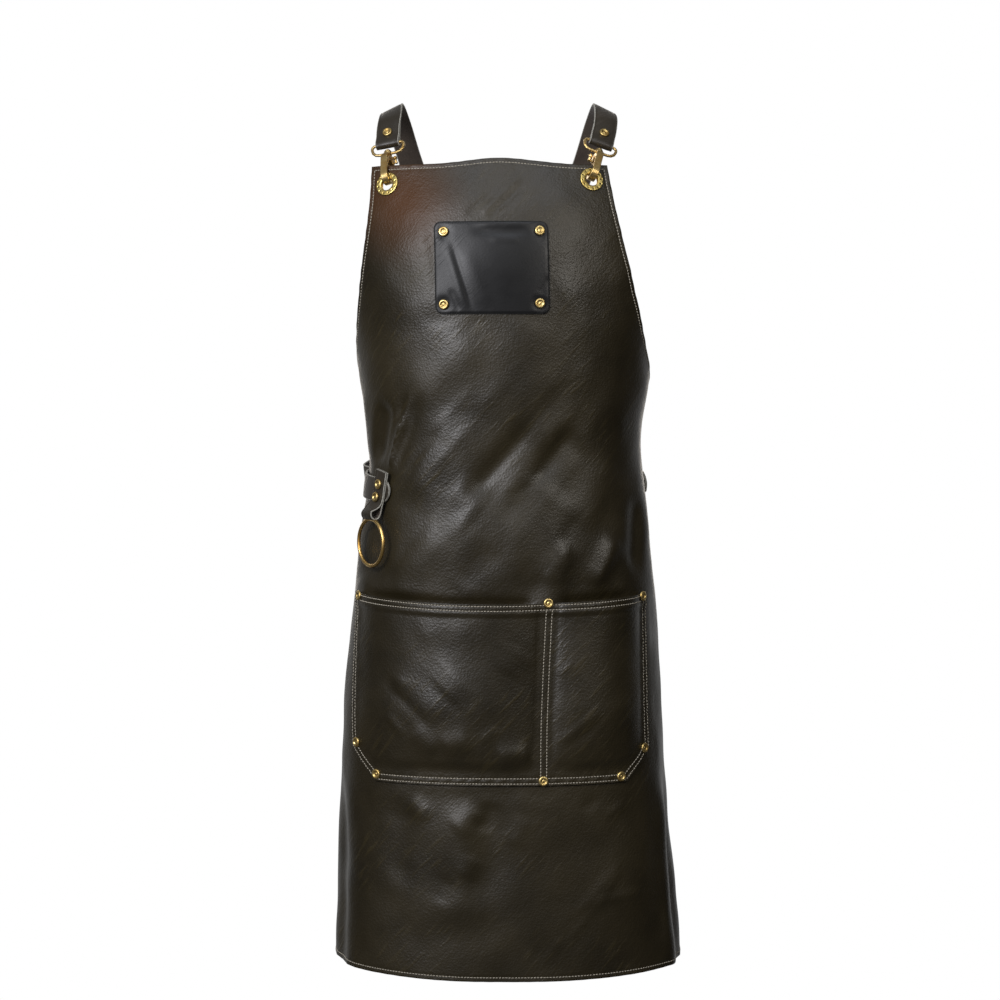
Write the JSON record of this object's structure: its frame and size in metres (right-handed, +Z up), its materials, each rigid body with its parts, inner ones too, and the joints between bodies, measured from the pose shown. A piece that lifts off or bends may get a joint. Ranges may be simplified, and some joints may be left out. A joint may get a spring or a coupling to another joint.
{
  "type": "leather grill apron",
  "caption": "Long leather work apron in its worn form: bib with patch, wide divided pocket, crossed straps on snap hooks, brass rivets and a towel ring on the hip.",
  "frame": {"origin": "midway between the two straps, at the height where they rest on the wearer's shoulders", "axes": "+Z up, -Y out of the apron's front, +X to the right as seen from the front"},
  "size_m": [0.3765, 0.2532, 0.9271],
  "materials": {
    "apron_leather": "waxed full-grain leather, satin",
    "patch_leather": "smooth leather, satin",
    "strap_leather": "thick waxed leather, satin",
    "rivet_brass": "antique brass",
    "eyelet_brass": "polished brass",
    "hook_brass": "polished brass",
    "ring_brass": "antique brass"
  },
  "bodies": {
    "apron": {"apron_body": "apron_leather", "pocket_panel": "apron_leather", "chest_patch": "patch_leather", "strap_left": "strap_leather", "strap_right": "strap_leather", "ring_tab": "strap_leather", "patch_rivet_1": "rivet_brass", "patch_rivet_2": "rivet_brass", "patch_rivet_3": "rivet_brass", "patch_rivet_4": "rivet_brass", "pocket_rivet_1": "rivet_brass", "pocket_rivet_2": "rivet_brass", "pocket_rivet_3": "rivet_brass", "pocket_rivet_4": "rivet_brass", "pocket_rivet_5": "rivet_brass", "pocket_rivet_6": "rivet_brass", "pocket_rivet_7": "rivet_brass", "pocket_rivet_8": "rivet_brass", "strap_rivet_left": "rivet_brass", "strap_rivet_right": "rivet_brass", "hip_rivet_left_1": "rivet_brass", "hip_rivet_left_2": "rivet_brass", "hip_rivet_right_1": "rivet_brass", "hip_rivet_right_2": "rivet_brass", "eyelet_left": "eyelet_brass", "snap_hook_left": "hook_brass", "snap_loop_left": "hook_brass", "eyelet_right": "eyelet_brass", "snap_hook_right": "hook_brass", "snap_loop_right": "hook_brass"},
    "towel_ring": {"towel_ring": "ring_brass"},
    "snap_gate_left": {"snap_gate_left": "hook_brass"},
    "snap_gate_right": {"snap_gate_right": "hook_brass"}
  },
  "joints": [
    {"name": "towel_ring_swing", "type": "hinge", "parent": "apron", "child": "towel_ring", "pos_m": [-0.1347, -0.06366, -0.43356], "axis": [-0.5624, 0.8269, 0], "range_deg": [0, 90]},
    {"name": "snap_gate_left_hinge", "type": "hinge", "parent": "apron", "child": "snap_gate_left", "pos_m": [-0.11318, -0.05257, -0.06317], "axis": [-0.8811, 0.3999, -0.2525], "range_deg": [0, 14], "stiffness_Nm_per_rad": 0.02, "springref_deg": -17.19},
    {"name": "snap_gate_right_hinge", "type": "hinge", "parent": "apron", "child": "snap_gate_right", "pos_m": [0.10194, -0.05961, -0.06197], "axis": [-0.9064, -0.1741, 0.3849], "range_deg": [0, 14], "stiffness_Nm_per_rad": 0.02, "springref_deg": -17.19}
  ]
}
